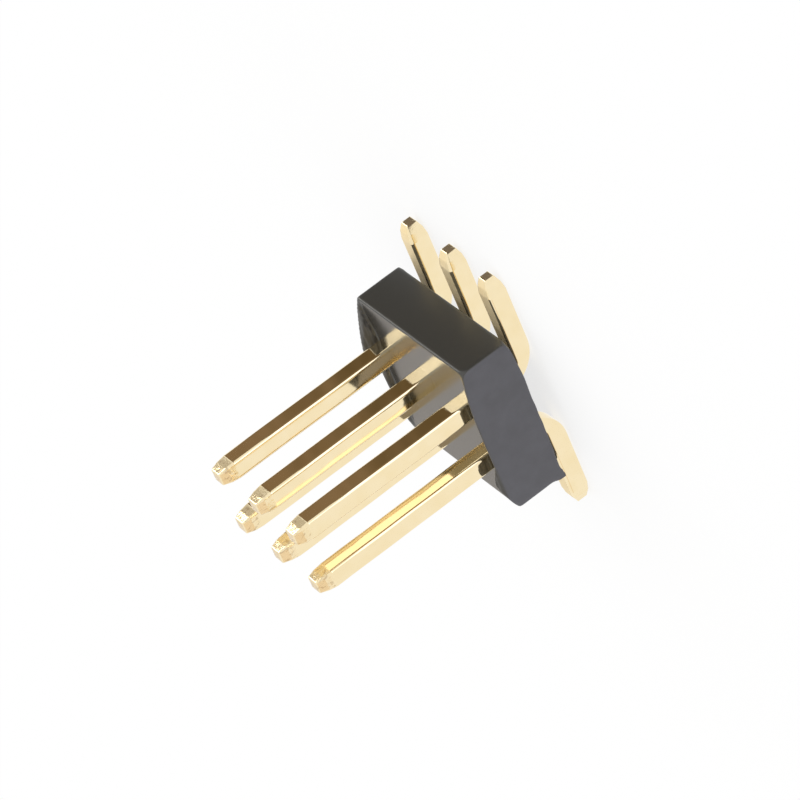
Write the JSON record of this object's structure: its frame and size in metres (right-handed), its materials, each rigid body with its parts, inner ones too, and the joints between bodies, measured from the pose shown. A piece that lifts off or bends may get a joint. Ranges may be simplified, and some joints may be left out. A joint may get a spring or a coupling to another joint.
{
  "type": "pin header strip",
  "caption": "Dual-row surface-mount pin header: square gold-plated pins through a black insulator, with tails bent outward to solder flat on a board.",
  "frame": {"origin": "on the board plane under the solder tails, below the middle of the insulator", "axes": "+Z from the board along the mating pins; X along the columns; Y across the two rows, row a at +Y"},
  "size_m": [0.0036, 0.0056, 0.0056],
  "materials": {
    "insulator": "black moulded glass-filled nylon",
    "pins": "thin gold plating over nickel"
  },
  "bodies": {
    "root": {"insulator": "insulator", "pin_a1": "pins", "pin_a2": "pins", "pin_a3": "pins", "pin_b1": "pins", "pin_b2": "pins", "pin_b3": "pins"}
  },
  "joints": []
}
